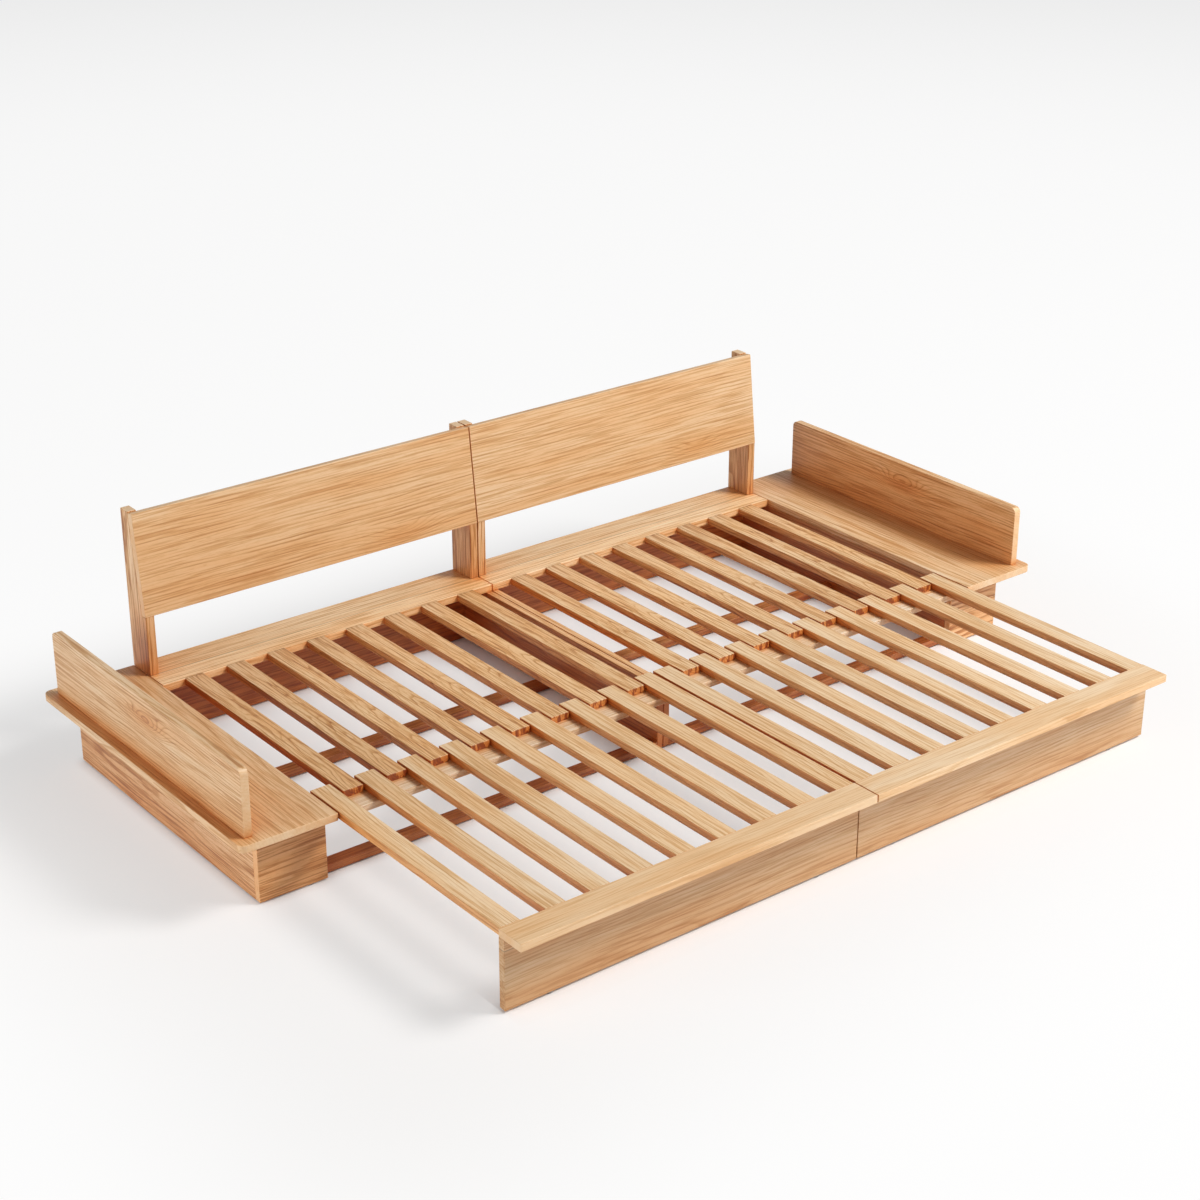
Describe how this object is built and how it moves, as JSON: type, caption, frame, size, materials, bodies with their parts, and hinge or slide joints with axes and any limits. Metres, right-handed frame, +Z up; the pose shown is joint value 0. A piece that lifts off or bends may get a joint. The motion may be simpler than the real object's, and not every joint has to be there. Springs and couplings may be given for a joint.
{
  "type": "sofa bed",
  "caption": "Low slatted oak sofa bed in two mirrored modules; a comb of slats pulls out of each to make the bed, with a leaning backrest and side tables with arm panels.",
  "frame": {"origin": "on the floor under the middle of the bounding box, with the pull-outs drawn out", "axes": "+X along the sofa, towards the right side table as seen from the front, +Y from front to back, +Z up"},
  "size_m": [2.5, 1.638, 0.623],
  "materials": {
    "oak_slats": "oiled, satin",
    "oak_boards": "oiled, satin",
    "oak_panels": "oiled, satin",
    "oak_tables": "oiled, satin",
    "oak_frame": "oiled, matt"
  },
  "bodies": {
    "base": {"left_fixed_slat_1": "oak_slats", "left_fixed_slat_2": "oak_slats", "left_fixed_slat_3": "oak_slats", "left_fixed_slat_4": "oak_slats", "left_fixed_slat_5": "oak_slats", "left_fixed_slat_6": "oak_slats", "left_fixed_slat_7": "oak_slats", "left_fixed_slat_8": "oak_slats", "left_base_frame": "oak_frame", "left_rear_deck": "oak_boards", "left_post_inner": "oak_panels", "left_post_outer": "oak_panels", "left_backrest": "oak_boards", "left_table_top": "oak_tables", "left_table_front": "oak_panels", "left_table_outer": "oak_tables", "left_table_rear": "oak_panels", "left_arm_panel": "oak_tables", "right_fixed_slat_1": "oak_slats", "right_fixed_slat_2": "oak_slats", "right_fixed_slat_3": "oak_slats", "right_fixed_slat_4": "oak_slats", "right_fixed_slat_5": "oak_slats", "right_fixed_slat_6": "oak_slats", "right_fixed_slat_7": "oak_slats", "right_fixed_slat_8": "oak_slats", "right_base_frame": "oak_frame", "right_rear_deck": "oak_boards", "right_post_inner": "oak_panels", "right_post_outer": "oak_panels", "right_backrest": "oak_boards", "right_table_top": "oak_tables", "right_table_front": "oak_panels", "right_table_outer": "oak_tables", "right_table_rear": "oak_panels", "right_arm_panel": "oak_tables"},
    "left_pullout_body": {"left_front_board": "oak_boards", "left_front_panel": "oak_panels", "left_pullout_slat_1": "oak_slats", "left_pullout_slat_2": "oak_slats", "left_pullout_slat_3": "oak_slats", "left_pullout_slat_4": "oak_slats", "left_pullout_slat_5": "oak_slats", "left_pullout_slat_6": "oak_slats", "left_pullout_slat_7": "oak_slats", "left_pullout_slat_8": "oak_slats", "left_pullout_slat_9": "oak_slats", "left_pullout_rail": "oak_frame"},
    "right_pullout_body": {"right_front_board": "oak_boards", "right_front_panel": "oak_panels", "right_pullout_slat_1": "oak_slats", "right_pullout_slat_2": "oak_slats", "right_pullout_slat_3": "oak_slats", "right_pullout_slat_4": "oak_slats", "right_pullout_slat_5": "oak_slats", "right_pullout_slat_6": "oak_slats", "right_pullout_slat_7": "oak_slats", "right_pullout_slat_8": "oak_slats", "right_pullout_slat_9": "oak_slats", "right_pullout_rail": "oak_frame"}
  },
  "joints": [
    {"name": "left_pullout_slide", "type": "slide", "parent": "base", "child": "left_pullout_body", "axis": [0, 1, 0], "range_m": [0, 0.68]},
    {"name": "right_pullout_slide", "type": "slide", "parent": "base", "child": "right_pullout_body", "axis": [0, 1, 0], "range_m": [0, 0.68]}
  ]
}
